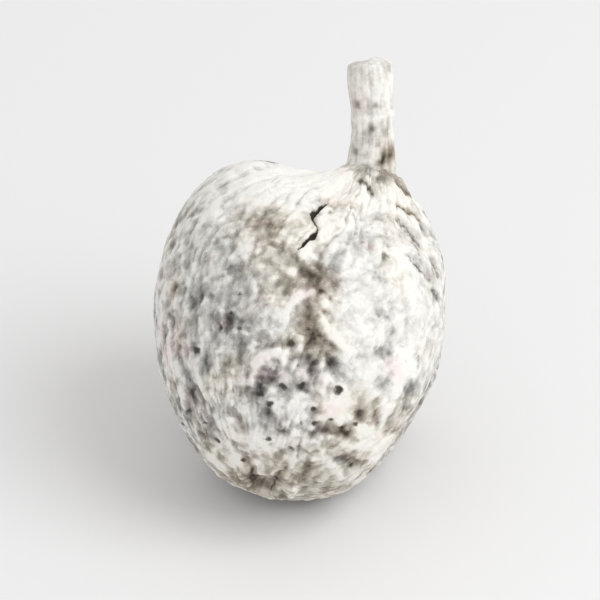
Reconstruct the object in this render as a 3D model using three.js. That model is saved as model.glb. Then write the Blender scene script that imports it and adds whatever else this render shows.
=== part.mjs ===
// A dried fig, dusted with flour, with its cut stalk still on.
//
// Millimetres, +Z up. The origin is the middle of the small flat spot that the fig rests on. The fig leans
// back on that spot: its crown and stalk point up and back (+Y), its eye points down and forward (-Y).
// Two pieces: the fruit, which is one closed body from its eye to its neck, and the woody stalk on the neck.

import * as THREE from "three";
import { mergeVertices } from "three/addons/utils/BufferGeometryUtils.js";

const { degToRad } = THREE.MathUtils;

// ---- Driving dimensions -------------------------------------------------------------------------------

const fruitAcross = 35.6; // left to right
const fruitLong = 42; // heel to crown, along the leaning long axis
const fruitDeep = 39; // front to back, square to both
const squareness = 2.25; // exponent of the rounded body: 2 is an ellipsoid, more is fuller at the shoulders
const crownTaper = 0.1; // share by which the crown is wider than the middle, and the heel narrower
const leanBack = degToRad(35); // of the long axis, from upright towards +Y

const restDepth = 1.5; // how much of the round underside is pressed flat
const restBlend = 0.4; // height over which the flat spot runs out into the round

const neckRise = 1.5; // height of the neck over the shoulders
const neckSpread = degToRad(12); // how soon it runs out into them
const seatTrim = 1.1; // cut off the top of the neck, for the flat seat that carries the stalk
const collarDip = 0.9; // depth of the hollow round the neck
const collarAt = degToRad(27); // its place, as an angle from the neck
const collarSpread = degToRad(11);

const eyeDip = 1.5; // depth of the eye
const eyeLip = 0.55; // height of the lip round it
const eyeSpread = degToRad(4.5);
const eyeLipAt = degToRad(8.5);
const eyeLipSpread = degToRad(3.6);

// The folds that run down from the neck: two sets, which beat against each other.
const pleatSets = [
  { count: 9, height: 0.25, start: 0.6 },
  { count: 13, height: 0.2, start: 2.1 },
];
const pleatAt = degToRad(27); // where they are tallest
const pleatSpread = degToRad(24);

const stalkLong = 13.3;
const stalkGap = 0.3; // between the neck's seat and the stalk
const stalkFootShare = 0.25; // of its length that leaves square to the seat, before it turns upright
const stalkWaist = 2.35; // radius
const footFlare = 0.9; // added to the radius where it meets the neck
const footFlareLong = 0.2; // as a share of the length
const tipFlare = 0.22; // added to the radius at its cut end
const tipFlareLong = 0.35;
const stalkOval = 1.08; // width over depth of its section
const stalkCut = degToRad(6); // slant of its cut end
const tipDome = 0.8; // height of the worn end over its rim
const tipShoulder = 0.7; // share of radius and height at which the domed end turns from side to top
const cutSharpness = 4; // the higher, the nearer to the end the slant begins

const ringsAlong = 42;
const sidesRound = 66;
const poleCrowding = 0.55; // 0 spaces the rings evenly, more draws them to the neck and the eye
const stalkSteps = 14;
const stalkSides = 24;
const mergeWithin = 1e-4; // joins the vertices along the seam and at the poles

// ---- Directions ---------------------------------------------------------------------------------------

// The fruit's own axes: across (x, to the right), back (y) and crown (z, up the long axis).
const across = new THREE.Vector3(1, 0, 0);
const back = new THREE.Vector3(0, Math.cos(leanBack), -Math.sin(leanBack));
const crown = new THREE.Vector3(0, Math.sin(leanBack), Math.cos(leanBack));

const toBody = new THREE.Matrix4().makeBasis(across, back, crown);

// A unit direction given in the fruit's own axes.
const toward = (x, y, z) => new THREE.Vector3(x, y, z).normalize();

const neckWay = toward(0.4, -0.14, 0.905);
const seatWay = toward(0.2, -0.14, 0.97); // the way that the stalk's seat faces
const eyeWay = toward(-0.185, -0.453, -0.873);
const stalkTipWay = toward(-0.06, -0.17, 0.98);

// Broad swellings and hollows that drying left: where, how wide (degrees), how high or deep.
const swellings = [
  { way: toward(-0.42, 0.0, 0.9), spread: 19, rise: 1.1 }, // left shoulder
  { way: toward(-0.85, 0, 0.5), spread: 16, rise: -0.6 }, // under the left shoulder
  { way: toward(0.2, 0, 0.98), spread: 12, rise: -2.6 }, // saddle between the left shoulder and the neck
  { way: toward(0.68, 0.05, 0.73), spread: 20, rise: 1.3 }, // right shoulder
  { way: toward(0.62, -0.2, -0.72), spread: 26, rise: -1.4 }, // lower right
  { way: toward(-0.62, 0.2, -0.7), spread: 24, rise: 0.1 }, // lower left
  { way: toward(0.3, 0.85, 0.45), spread: 28, rise: -1.5 }, // pressed hollow at the back
  { way: toward(-0.65, 0.75, 0.2), spread: 22, rise: 0.7 }, // back left
  { way: toward(0.8, 0.55, -0.15), spread: 20, rise: 0.6 }, // back right
  { way: toward(0.25, -0.9, 0.35), spread: 17, rise: -0.45 }, // under the neck, in front
  { way: toward(-0.75, -0.6, 0.1), spread: 19, rise: -0.55 }, // front left
];

// ---- The fruit's surface ------------------------------------------------------------------------------

const bell = (x, width) => Math.exp(-((x / width) ** 2));

// Distance from the middle of the fruit to its plain rounded body, along a unit direction.
function roundBody(way) {
  const widen = 1 + crownTaper * way.z;
  const sum =
    (Math.abs(way.x) / ((fruitAcross / 2) * widen)) ** squareness +
    (Math.abs(way.y) / (fruitDeep / 2)) ** squareness +
    (Math.abs(way.z) / (fruitLong / 2)) ** squareness;
  return sum ** (-1 / squareness);
}

function swellingHeight(way) {
  let height = 0;
  for (const s of swellings) height += s.rise * bell(way.angleTo(s.way), degToRad(s.spread));
  return height;
}

function pleats(fromNeck, turn) {
  let height = 0;
  for (const set of pleatSets) height += set.height * Math.cos(set.count * turn + set.start);
  return height * bell(fromNeck - pleatAt, pleatSpread);
}

// Distance from the middle to the surface: way is the direction, turn the angle round the neck-to-eye line.
function reach(way, turn) {
  const fromNeck = way.angleTo(neckWay);
  const fromEye = way.angleTo(eyeWay);
  const shoulder = roundBody(way) + swellingHeight(way) + pleats(fromNeck, turn);
  const collar = -collarDip * bell(fromNeck - collarAt, collarSpread);
  const eye = eyeLip * bell(fromEye - eyeLipAt, eyeLipSpread) - eyeDip * bell(fromEye, eyeSpread);
  return shoulder + collar + neckRise * bell(fromNeck, neckSpread) + eye;
}

// The seat for the stalk: the top of the neck is cut off flat here, facing seatWay.
const seatHeight = roundBody(neckWay) + swellingHeight(neckWay) + neckRise - seatTrim;

// Presses what lies below the floor flat, and runs the flat spot out smoothly into the round.
function press(height) {
  if (height <= -restBlend) return 0;
  if (height >= restBlend) return height;
  return (height + restBlend) ** 2 / (4 * restBlend);
}

// The ball's two poles are drawn to the neck and to the eye, which don't lie quite opposite each other.
const poleLine = neckWay.clone().sub(eyeWay).multiplyScalar(0.5);
const poleShift = neckWay.clone().add(eyeWay).multiplyScalar(0.5);
const ballTop = new THREE.Vector3(0, 1, 0);
const turnPole = new THREE.Quaternion().setFromUnitVectors(ballTop, poleLine.clone().normalize());

// A point of the fruit's surface, before it is pressed flat below, from a point of the round ball.
function surfacePoint(onBall) {
  const share = Math.acos(THREE.MathUtils.clamp(onBall.y, -1, 1)) / Math.PI;
  const polar = Math.PI * share - (poleCrowding / 2) * Math.sin(2 * Math.PI * share);
  const turn = Math.atan2(onBall.z, onBall.x);
  const ring = Math.sin(polar);
  const way = new THREE.Vector3(Math.cos(turn) * ring, Math.cos(polar), Math.sin(turn) * ring);
  way.applyQuaternion(turnPole).multiplyScalar(poleLine.length()).add(poleShift).normalize();

  const towardSeat = way.dot(seatWay);
  const toSeat = towardSeat > 0 ? (seatHeight * neckWay.dot(seatWay)) / towardSeat : Infinity;
  return way.clone().multiplyScalar(Math.min(reach(way, turn), toSeat)).applyMatrix4(toBody);
}

function fruitGeometry() {
  const geometry = new THREE.SphereGeometry(1, sidesRound, ringsAlong);
  geometry.deleteAttribute("normal");
  geometry.deleteAttribute("uv");
  const places = geometry.attributes.position;
  const points = [];
  for (let i = 0; i < places.count; i++) {
    points.push(surfacePoint(new THREE.Vector3().fromBufferAttribute(places, i)));
  }

  const lowest = Math.min(...points.map((p) => p.z));
  const floor = lowest + restDepth;
  points.forEach((p) => (p.z = press(p.z - floor)));

  // The middle of the pressed spot becomes the origin.
  const onSpot = points.filter((p) => p.z === 0);
  const middle = onSpot.reduce((sum, p) => sum.add(p), new THREE.Vector3()).divideScalar(onSpot.length);
  points.forEach((p, i) => places.setXYZ(i, p.x - middle.x, p.y - middle.y, p.z));
  const centre = new THREE.Vector3(-middle.x, -middle.y, -floor);
  return { geometry: mergeVertices(geometry, mergeWithin), centre };
}

// ---- The stalk ----------------------------------------------------------------------------------------

// Radius of the stalk at a share of its length: broad at the neck, waisted, and flared again at its cut end.
function stalkRadius(share) {
  return stalkWaist + footFlare * bell(share, footFlareLong) + tipFlare * bell(share - 1, tipFlareLong);
}

// The stalk's middle line: square to the seat at its foot, then upright.
function stalkLine(centre) {
  const seatDir = seatWay.clone().applyMatrix4(toBody);
  const tipDir = stalkTipWay.clone().applyMatrix4(toBody);
  const seat = neckWay.clone().applyMatrix4(toBody).multiplyScalar(seatHeight).add(centre);
  const foot = seat.addScaledVector(seatDir, stalkGap);
  const bend = foot.clone().addScaledVector(seatDir, stalkLong * stalkFootShare);
  const upright = stalkLong * (1 - stalkFootShare);
  const halfUp = bend.clone().addScaledVector(tipDir, upright / 2);
  const tip = bend.clone().addScaledVector(tipDir, upright);
  return new THREE.CubicBezierCurve3(foot, bend, halfUp, tip);
}

function stalkGeometry(line) {
  const profile = [new THREE.Vector2(0, 0)];
  for (let i = 0; i <= stalkSteps; i++) {
    const share = i / stalkSteps;
    profile.push(new THREE.Vector2(stalkRadius(share), share));
  }
  profile.push(new THREE.Vector2(tipShoulder * stalkRadius(1), 1 + (tipShoulder * tipDome) / stalkLong));
  profile.push(new THREE.Vector2(0, 1 + tipDome / stalkLong));
  const geometry = new THREE.LatheGeometry(profile, stalkSides);
  geometry.deleteAttribute("normal");
  geometry.deleteAttribute("uv");

  // Bend the straight stalk onto its line, and slant its upper end. The dome stands on the line's end.
  const places = geometry.attributes.position;
  const bent = new THREE.Vector3();
  for (let i = 0; i < places.count; i++) {
    const offset = new THREE.Vector3(places.getX(i) * stalkOval, 0, places.getZ(i));
    const share = Math.min(places.getY(i), 1);
    const dome = (places.getY(i) - share) * stalkLong;
    const tangent = line.getTangent(share);
    const side = across.clone().addScaledVector(tangent, -tangent.dot(across)).normalize();
    const front = new THREE.Vector3().crossVectors(side, tangent);
    const slant = share ** cutSharpness * Math.tan(stalkCut) * offset.x;
    bent.copy(line.getPoint(share)).addScaledVector(side, offset.x).addScaledVector(front, offset.z);
    bent.addScaledVector(tangent, slant + dome);
    places.setXYZ(i, bent.x, bent.y, bent.z);
  }
  return mergeVertices(geometry, mergeWithin);
}

// ---- The fig ------------------------------------------------------------------------------------------

const flouredSkin = new THREE.MeshStandardMaterial({ color: 0xcfc9c0, roughness: 0.9, metalness: 0 });
const flouredStalk = new THREE.MeshStandardMaterial({ color: 0xd6cfc4, roughness: 0.85, metalness: 0 });

const { geometry: fruitShape, centre: fruitCentre } = fruitGeometry();

const fruit = new THREE.Mesh(fruitShape, flouredSkin);
fruit.name = "fruit";

const stalk = new THREE.Mesh(stalkGeometry(stalkLine(fruitCentre)), flouredStalk);
stalk.name = "stalk";

const driedFig = new THREE.Group();
driedFig.name = "dried_fig";
driedFig.add(fruit, stalk);

export default driedFig;
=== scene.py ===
# A dried fig dusted with flour, with its cut stalk on: the looks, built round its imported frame.
# Shapes are worked out in millimetres in the fruit's own axes (right, back, crown), and placed in metres.

import itertools
import math
import bpy
import numpy as np
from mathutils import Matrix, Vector


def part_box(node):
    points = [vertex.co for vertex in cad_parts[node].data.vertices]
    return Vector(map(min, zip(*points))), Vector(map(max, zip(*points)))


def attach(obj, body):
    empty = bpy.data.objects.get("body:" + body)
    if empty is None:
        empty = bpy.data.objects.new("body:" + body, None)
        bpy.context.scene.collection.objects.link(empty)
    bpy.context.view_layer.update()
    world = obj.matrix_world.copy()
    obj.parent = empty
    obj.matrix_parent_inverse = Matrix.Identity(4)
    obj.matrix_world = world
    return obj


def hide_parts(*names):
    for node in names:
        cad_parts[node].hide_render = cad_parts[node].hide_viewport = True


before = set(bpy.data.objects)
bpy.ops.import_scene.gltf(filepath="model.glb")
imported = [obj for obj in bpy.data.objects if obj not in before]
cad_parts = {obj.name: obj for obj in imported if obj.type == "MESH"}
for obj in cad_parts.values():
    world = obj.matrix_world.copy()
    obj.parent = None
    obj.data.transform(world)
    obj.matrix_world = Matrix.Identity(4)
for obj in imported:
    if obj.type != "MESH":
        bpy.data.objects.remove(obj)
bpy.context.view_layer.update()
mm = 0.001
print("frame loaded:", sorted(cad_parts))


def bell(x, width):  # e to the power of -(x / width) squared: 1 at 0, and falling away on both sides
    return np.exp(-(x / width) ** 2)


def ease(x, low, high):  # 0 below low, 1 above high, and smooth between
    t = np.clip((x - low) / (high - low), 0, 1)
    return t * t * (3 - 2 * t)


def unit(v):
    v = np.asarray(v, float)
    return v / np.linalg.norm(v, axis=-1, keepdims=True)


quarterTurns = np.array([[0, 0.8, 0.6], [-0.8, 0.36, -0.48], [-0.6, -0.48, 0.64]])     # hides the lattice


class Noise:  # seeded gradient noise, about -1 to 1, in unit cells
    def __init__(self, seed):
        draw = np.random.default_rng(seed)
        self.order = draw.permutation(256)
        self.slopes = unit(draw.normal(size=(256, 3)))
        self.spots = draw.random((256, 3))

    def pick(self, cell):  # one number from 0 to 255 for each cell
        cell = cell & 255
        chosen = self.order[cell[..., 0]]
        chosen = self.order[(chosen + cell[..., 1]) & 255]
        return self.order[(chosen + cell[..., 2]) & 255]

    def smooth(self, places):  # each corner's slope times the way from it, eased together
        cell = np.floor(places).astype(int)
        inside = places - cell
        eased = inside ** 3 * (inside * (inside * 6 - 15) + 10)
        total = np.zeros(places.shape[:-1])
        for corner in itertools.product((0, 1), repeat=3):
            corner = np.array(corner)
            share = np.where(corner == 1, eased, 1 - eased).prod(axis=-1)
            total += share * ((inside - corner) * self.slopes[self.pick(cell + corner)]).sum(axis=-1)
        return total * 1.6  # about -1 to 1

    def layered(self, places, layers, fade=0.5):  # smooth noise, with finer, weaker, turned noise over it
        total, strength = 0, 1
        for layer in range(layers):
            total = total + strength * self.smooth(places)
            places = places @ quarterTurns * 2 + 17.3
            strength *= fade
        return total

    # Distances to the nearest and the next of scattered seeds, and the nearest one's draw, from 0 to 1.
    def cells(self, places):
        cell = np.floor(places).astype(int)
        nearest = np.full(places.shape[:-1], 9.0)  # farther than any seed
        second = nearest.copy()
        draw = nearest.copy()
        for step in itertools.product((-1, 0, 1), repeat=3):
            spot = cell + np.array(step)
            picked = self.pick(spot)
            far = np.linalg.norm(places - spot - self.spots[picked], axis=-1)
            second = np.minimum(second, np.maximum(nearest, far))
            draw = np.where(far < nearest, picked / 255, draw)
            nearest = np.minimum(nearest, far)
        return nearest, second, draw


# A closed surface from a grid of points, rows from one pole to the other and columns round. Each end is
# closed by a fan of triangles on its pole point.
def closedSurface(name, grid, firstPole, lastPole, values):
    rows, columns = grid.shape[:2]
    points = np.vstack([[firstPole], grid.reshape(-1, 3), [lastPole]]) * mm
    row = np.arange(rows - 1)[:, None] * columns + 1
    column = np.arange(columns)[None, :]
    beside = (column + 1) % columns
    quads = np.stack([row + column, row + columns + column, row + columns + beside, row + beside], axis=-1)
    last = (rows - 1) * columns + 1
    here, following = column[0], beside[0]
    top = np.stack([np.zeros(columns, int), 1 + here, 1 + following], axis=-1)
    bottom = np.stack([np.full(columns, len(points) - 1), last + following, last + here], axis=-1)
    corners = np.concatenate([quads.reshape(-1), top.reshape(-1), bottom.reshape(-1)])
    sizes = np.concatenate([np.full(quads.size // 4, 4), np.full(2 * columns, 3)])
    return makePiece(name, points, corners, sizes, values)


def makePiece(name, points, corners, sizes, values):
    mesh = bpy.data.meshes.new(name)
    mesh.vertices.add(len(points))
    mesh.vertices.foreach_set("co", points.astype(np.float32).reshape(-1))
    mesh.loops.add(len(corners))
    mesh.loops.foreach_set("vertex_index", corners.astype(np.int32))
    mesh.polygons.add(len(sizes))
    mesh.polygons.foreach_set("loop_start", (np.cumsum(sizes) - sizes).astype(np.int32))
    mesh.polygons.foreach_set("use_smooth", np.ones(len(sizes), bool))
    mesh.update(calc_edges=True)
    for label, amounts in values.items():
        layer = mesh.attributes.new(label, "FLOAT", "POINT")
        layer.data.foreach_set("value", np.asarray(amounts, np.float32))
    piece = bpy.data.objects.new(name, mesh)
    bpy.context.scene.collection.objects.link(piece)
    return piece


def withPoles(field, firstPole, lastPole):  # a grid's values as one list, with the two poles' values added
    return np.concatenate([[firstPole], field.reshape(-1), [lastPole]])


form = {                                      # the fruit's form, the same as its solid's
    "across": 35.6, "long": 42, "deep": 39,   # the rounded body
    "squareness": 2.25,                       # 2 is an ellipsoid, more is fuller at the shoulders
    "crownTaper": 0.1,
    "leanBack": 35,                           # degrees from upright, towards +Y
    "restBlend": 0.4,                         # height over which the flat spot runs out into the round
    "neckWay": (0.4, -0.14, 0.905), "neckRise": 1.5, "neckSpread": 12,
    "seatWay": (0.2, -0.14, 0.97), "seatTrim": 1.1,
    "eyeWay": (-0.185, -0.453, -0.873), "eyeDip": 1.5, "eyeSpread": 4.5,
    "eyeLip": 0.55, "eyeLipAt": 8.5, "eyeLipSpread": 3.6,
    "collarDip": 0.9, "collarAt": 27, "collarSpread": 11,
    "pleats": ((9, 0.25, 0.6), (13, 0.2, 2.1)),      # count, height, start
    "pleatAt": 27, "pleatSpread": 24,
    "swellings": (                            # direction, spread in degrees, rise
        ((-0.42, 0.0, 0.9), 19, 1.1),         # left shoulder
        ((-0.85, 0.0, 0.5), 16, -0.6),        # under the left shoulder
        ((0.2, 0.0, 0.98), 12, -2.6),         # saddle between the left shoulder and the neck
        ((0.68, 0.05, 0.73), 20, 1.3),        # right shoulder
        ((0.62, -0.2, -0.72), 26, -1.4),      # lower right
        ((-0.62, 0.2, -0.7), 24, 0.1),        # lower left
        ((0.3, 0.85, 0.45), 28, -1.5),        # pressed hollow at the back
        ((-0.65, 0.75, 0.2), 22, 0.7),        # back left
        ((0.8, 0.55, -0.15), 20, 0.6),        # back right
        ((0.25, -0.9, 0.35), 17, -0.45),      # under the neck, in front
        ((-0.75, -0.6, 0.1), 19, -0.55),      # front left
    ),
}

lean = math.radians(form["leanBack"])
bodyAxes = np.array([[1, 0, 0], [0, math.cos(lean), -math.sin(lean)], [0, math.sin(lean), math.cos(lean)]])
neckWay = unit(form["neckWay"])
seatWay = unit(form["seatWay"])
eyeWay = unit(form["eyeWay"])


def angleFrom(ways, way):  # in degrees
    return np.degrees(np.arccos(np.clip(ways @ unit(way), -1, 1)))


# Distance to the rounded body: the sum of each share of a half size, to the power of squareness, is 1.
def roundBody(ways):
    power = form["squareness"]
    x = np.abs(ways[..., 0]) / (form["across"] / 2 * (1 + form["crownTaper"] * ways[..., 2]))
    y = np.abs(ways[..., 1]) / (form["deep"] / 2)
    z = np.abs(ways[..., 2]) / (form["long"] / 2)
    return (x ** power + y ** power + z ** power) ** (-1 / power)


def swollenBody(ways):  # the rounded body with its bells of swelling and hollow
    distance = roundBody(ways)
    for way, spread, rise in form["swellings"]:
        distance = distance + rise * bell(angleFrom(ways, way), spread)
    return distance


seatHeight = float(swollenBody(neckWay)) + form["neckRise"] - form["seatTrim"]


# Distance to the surface: the swollen body, with cosine pleats, a collar hollow and a rise at the neck, a dip
# and a lip at the eye, and a flat seat that faces seatWay.
def reach(ways, turn):
    fromNeck = angleFrom(ways, neckWay)
    fromEye = angleFrom(ways, eyeWay)
    pleats = sum(height * np.cos(count * turn + start) for count, height, start in form["pleats"])
    distance = swollenBody(ways) + pleats * bell(fromNeck - form["pleatAt"], form["pleatSpread"])
    distance = distance - form["collarDip"] * bell(fromNeck - form["collarAt"], form["collarSpread"])
    distance = distance + form["neckRise"] * bell(fromNeck, form["neckSpread"])
    distance = distance + form["eyeLip"] * bell(fromEye - form["eyeLipAt"], form["eyeLipSpread"])
    distance = distance - form["eyeDip"] * bell(fromEye, form["eyeSpread"])
    toSeat = seatHeight * (neckWay @ seatWay) / np.maximum(ways @ seatWay, 1e-6)
    return np.minimum(distance, toSeat)


# A grid of directions. Its two poles are drawn to the neck and to the eye, which don't lie quite opposite.
poleLine = (neckWay - eyeWay) / 2
poleShift = (neckWay + eyeWay) / 2


def turnedTo(target):  # the shortest turn that takes +Y to target, as a matrix
    target = unit(target)
    cross = np.cross([0, 1, 0], target)
    skew = np.array([[0, -cross[2], cross[1]], [cross[2], 0, -cross[0]], [-cross[1], cross[0], 0]])
    return np.eye(3) + skew + skew @ skew / (1 + target[1])


def waysFromPoles(polar, turn):
    onBall = np.stack([np.cos(turn) * np.sin(polar), np.cos(polar), np.sin(turn) * np.sin(polar)], axis=-1)
    return unit(onBall @ turnedTo(poleLine).T * np.linalg.norm(poleLine) + poleShift)


skinGrid = {"rows": 280, "columns": 350, "atPoles": 0.5, "inFront": 0.3}      # and how far it crowds there
share = np.arange(1, skinGrid["rows"] + 1) / (skinGrid["rows"] + 1)
polar = math.pi * share - skinGrid["atPoles"] / 2 * np.sin(2 * math.pi * share)
turn = 2 * math.pi * np.arange(skinGrid["columns"]) / skinGrid["columns"]
turn = turn + skinGrid["inFront"] * np.cos(turn)
polar, turn = np.meshgrid(polar, turn, indexing="ij")
ways = waysFromPoles(polar, turn)
plain = ways * reach(ways, turn)[..., None]

# The solid's box gives the fruit's middle in the frame: sideways by the box's middle, upwards by its top.
placed = plain @ bodyAxes
boxLow, boxHigh = (np.array(corner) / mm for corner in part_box("fruit"))
centre = (boxLow + boxHigh) / 2 - (placed.min((0, 1)) + placed.max((0, 1))) / 2
centre[2] = boxHigh[2] - placed[..., 2].max()
print("fruit's middle, in mm:", centre.round(2))


def press(points):  # flattens what lies below the floor, eased into the round
    blend = form["restBlend"]
    height = points[..., 2]
    eased = np.where(height < -blend, 0, (height + blend) ** 2 / (4 * blend))
    pressed = points.copy()
    pressed[..., 2] = np.where(height > blend, height, eased)
    return pressed


skin = {                                      # heights and sizes in mm, angles in degrees
    "dimple": 0.34, "dimpleSize": 9,          # broad unevenness
    "fold": 0.3, "foldWide": 3.4, "foldLong": 10, "foldEdge": 0.16,    # long creases, from neck to eye
    "foldBehind": 0.35, "foldPatch": 9,       # how much deeper behind; they come and go in patches
    "pillow": 0.08, "pillowWide": 1.9, "pillowLong": 3.6,  # small cushions between fine creases
    "pillowEdge": 0.45, "pillowPatch": 7, "pillowLeast": 0.35, "pillowLessWhereCalm": 0.8,
    "patchFrom": (-0.5, 0.4),                 # the noise at which a patch of either starts, and is full
    "foldMean": 0.8, "pillowMean": 0.7,       # taken off both, so that the body keeps its size
    "crinkle": 0.08, "crinkleSize": 1.2, "crestSize": 3, "crestWide": 0.08,
    "pleats": 41, "pleat": 0.34, "pleatAt": 30, "pleatSpread": 17,         # narrow ones round the neck
    "pleatWander": 0.16, "pleatWide": 0.36, "pleatLessInFront": 0.7,
    "pleatGroove": 0.5, "pleatPatch": (1.8, 8), "pleatPatchFrom": (-0.45, 0.2),
    "creaseEdge": (0.6, -0.2),                # how far from its edge a placed crease starts, and is full
    "sheath": 1.1, "sheathFrom": 2.7, "sheathOut": 1.1,    # skin that climbs up the stalk, and its radii
    "besideNeck": (((0.2, -0.02, 0.97), 8, 1.0), ((0.62, 0.0, 0.79), 7, 0.7)),   # hollows: way, spread, depth
    "scale": 0.45, "scaleSpread": 9,          # at the eye
    "scaleRings": ((8.2, 2.6, 3, 0.4), (4.2, 2.0, 2.5, 1.3)),    # radius, wave, count to half a turn, start
    "scaleWander": 0.25, "scalePoint": 0.6, "scaleEdge": (-0.5, 0.9),
    "flourThick": 0.1, "flourEdge": (0.3, 0.8),
    "crackDepth": 0.6, "crackEdge": (-0.12, 0.2), "crackLip": 0.16, "crackLipAt": 0.35, "crackLipWide": 0.4,
}

# What follows is placed as seen from the front: so far right of the fruit's middle, and so far up.

# The crack, and half its width at each point.
crackLine = ((3.6, 16.3, 0.05), (2.9, 15.95, 0.24), (2.3, 15.4, 0.3), (1.7, 14.9, 0.34), (1.6, 14.3, 0.16),
             (1.9, 13.6, 0.07), (2.25, 13.0, 0.08), (2.1, 12.5, 0.22), (1.65, 11.9, 0.34), (1.1, 11.4, 0.14),
             (0.4, 10.8, 0.26), (-0.1, 10.3, 0.08))

# Creases (above 0), darkened by less flour and by painted shade, and ridges thick with flour (below 0), with
# half their width at each point.
lines = (
    # creases over the right shoulder, and at the neck
    (0.45, ((12.0, 18.4, 0.05), (13.3, 17.6, 0.18), (14.7, 16.4, 0.1))),
    (0.4, ((12.1, 15.8, 0.04), (14.2, 14.7, 0.1), (15.3, 13.1, 0.04))),
    (0.37, ((12.1, 14.2, 0.02), (13.6, 12.7, 0.07), (14.7, 10.7, 0.02))),
    (0.37, ((13.1, 9.8, 0.04), (14.4, 8.4, 0.09), (15.9, 6.7, 0.02))),
    (0.3, ((13.6, 10.3, 0.02), (14.8, 8.9, 0.07), (16.0, 7.4, 0.02))),
    (0.4, ((16.0, 9.6, 0.02), (17.1, 7.1, 0.08))),
    (0.5, ((16.3, 5.6, 0.1), (17.1, 4.4, 0.06))),
    (0.4, ((7.6, 19.0, 0.1), (8.6, 18.0, 0.16), (9.2, 16.9, 0.02))),
    # creases in the dark patch, under the pale one, and beside the eye
    (0.26, ((-3.7, -4.4, 0.1), (-4.1, -5.2, 0.3), (-4.7, -6.2, 0.3), (-5.0, -7.0, 0.1))),
    (0.34, ((2.1, -10.6, 0.15), (2.6, -11.2, 0.3), (4.3, -11.4, 0.25),
            (6.0, -11.3, 0.25), (6.5, -10.8, 0.1))),
    (0.36, ((-1.5, -16.4, 0.02), (-2.6, -17.2, 0.12), (-3.4, -18.4, 0.1))),
    (0.36, ((-5.6, -16.2, 0.02), (-5.9, -17.4, 0.1), (-5.6, -18.6, 0.04))),
    # faint ones on the right
    (0.14, ((8.8, 3.6, 0.02), (10.2, 4.5, 0.1), (11.9, 4.2, 0.1), (13.4, 1.8, 0.02))),
    (0.14, ((10.0, -1.4, 0.02), (11.6, -0.4, 0.1), (12.8, -1.6, 0.06))),
    (0.12, ((7.6, -3.4, 0.02), (8.6, -2.2, 0.1), (9.8, -2.4, 0.04))),
    # pale arcs over the dark patch and under the crack, and ridges in the middle
    (-0.6, ((-5.8, -5.6, 0.1), (-5.2, -3.6, 0.35), (-3.7, -2.1, 0.45), (-2.6, -2.0, 0.3), (-1.9, -3.2, 0.1))),
    (-0.42, ((-1.2, 3.6, 0.1), (-0.2, 4.5, 0.3), (1.6, 5.1, 0.35), (3.0, 4.4, 0.25), (3.7, 3.4, 0.1))),
    (-0.4, ((2.6, 2.4, 0.1), (3.4, 0.6, 0.25), (4.9, -0.8, 0.2), (6.0, -2.4, 0.1))),
    (-0.35, ((0.3, -1.4, 0.1), (0.6, -3.4, 0.2), (0.9, -5.2, 0.1))),
    (-0.35, ((3.0, -3.2, 0.1), (3.2, -4.8, 0.2), (2.8, -6.6, 0.1))),
    (-0.3, ((-6.4, 9.6, 0.05), (-6.0, 7.0, 0.14), (-5.0, 5.0, 0.08))),
    # ridges down the left side
    (-0.35, ((-14.6, -3.0, 0.05), (-14.4, -6.4, 0.16), (-13.9, -9.8, 0.1))),
    (-0.35, ((-12.2, -4.4, 0.05), (-11.7, -7.4, 0.16), (-12.4, -10.4, 0.08))),
    (-0.3, ((-15.9, 1.2, 0.04), (-15.7, -2.6, 0.12), (-15.2, -5.6, 0.06))),
    (-0.3, ((-9.4, -10.4, 0.05), (-8.4, -13.0, 0.2), (-6.8, -15.6, 0.1))),
    (-0.3, ((-13.0, 8.6, 0.05), (-13.6, 5.6, 0.12), (-13.4, 2.6, 0.05))),
    (-0.3, ((-11.8, -12.6, 0.05), (-10.6, -14.8, 0.16), (-8.6, -17.0, 0.1))),
    # ridges at the lower right
    (-0.35, ((2.2, -13.0, 0.1), (3.4, -15.2, 0.3), (5.2, -17.2, 0.1))),
    (-0.35, ((6.6, -16.6, 0.1), (9.0, -15.0, 0.3), (11.4, -12.4, 0.1))),
    (-0.3, ((9.8, -10.2, 0.1), (11.4, -7.4, 0.3), (12.2, -4.4, 0.1))),
    (-0.3, ((5.0, -12.6, 0.1), (6.4, -13.8, 0.25), (8.4, -13.4, 0.1))),
)
# A deep crease's dark line of bare skin is partly painted shade.
openCrease = 0.35                             # a crease deeper than this shows a line of bare skin,
bareInside = 0.08                             # narrower than the crease by this on both sides

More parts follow.
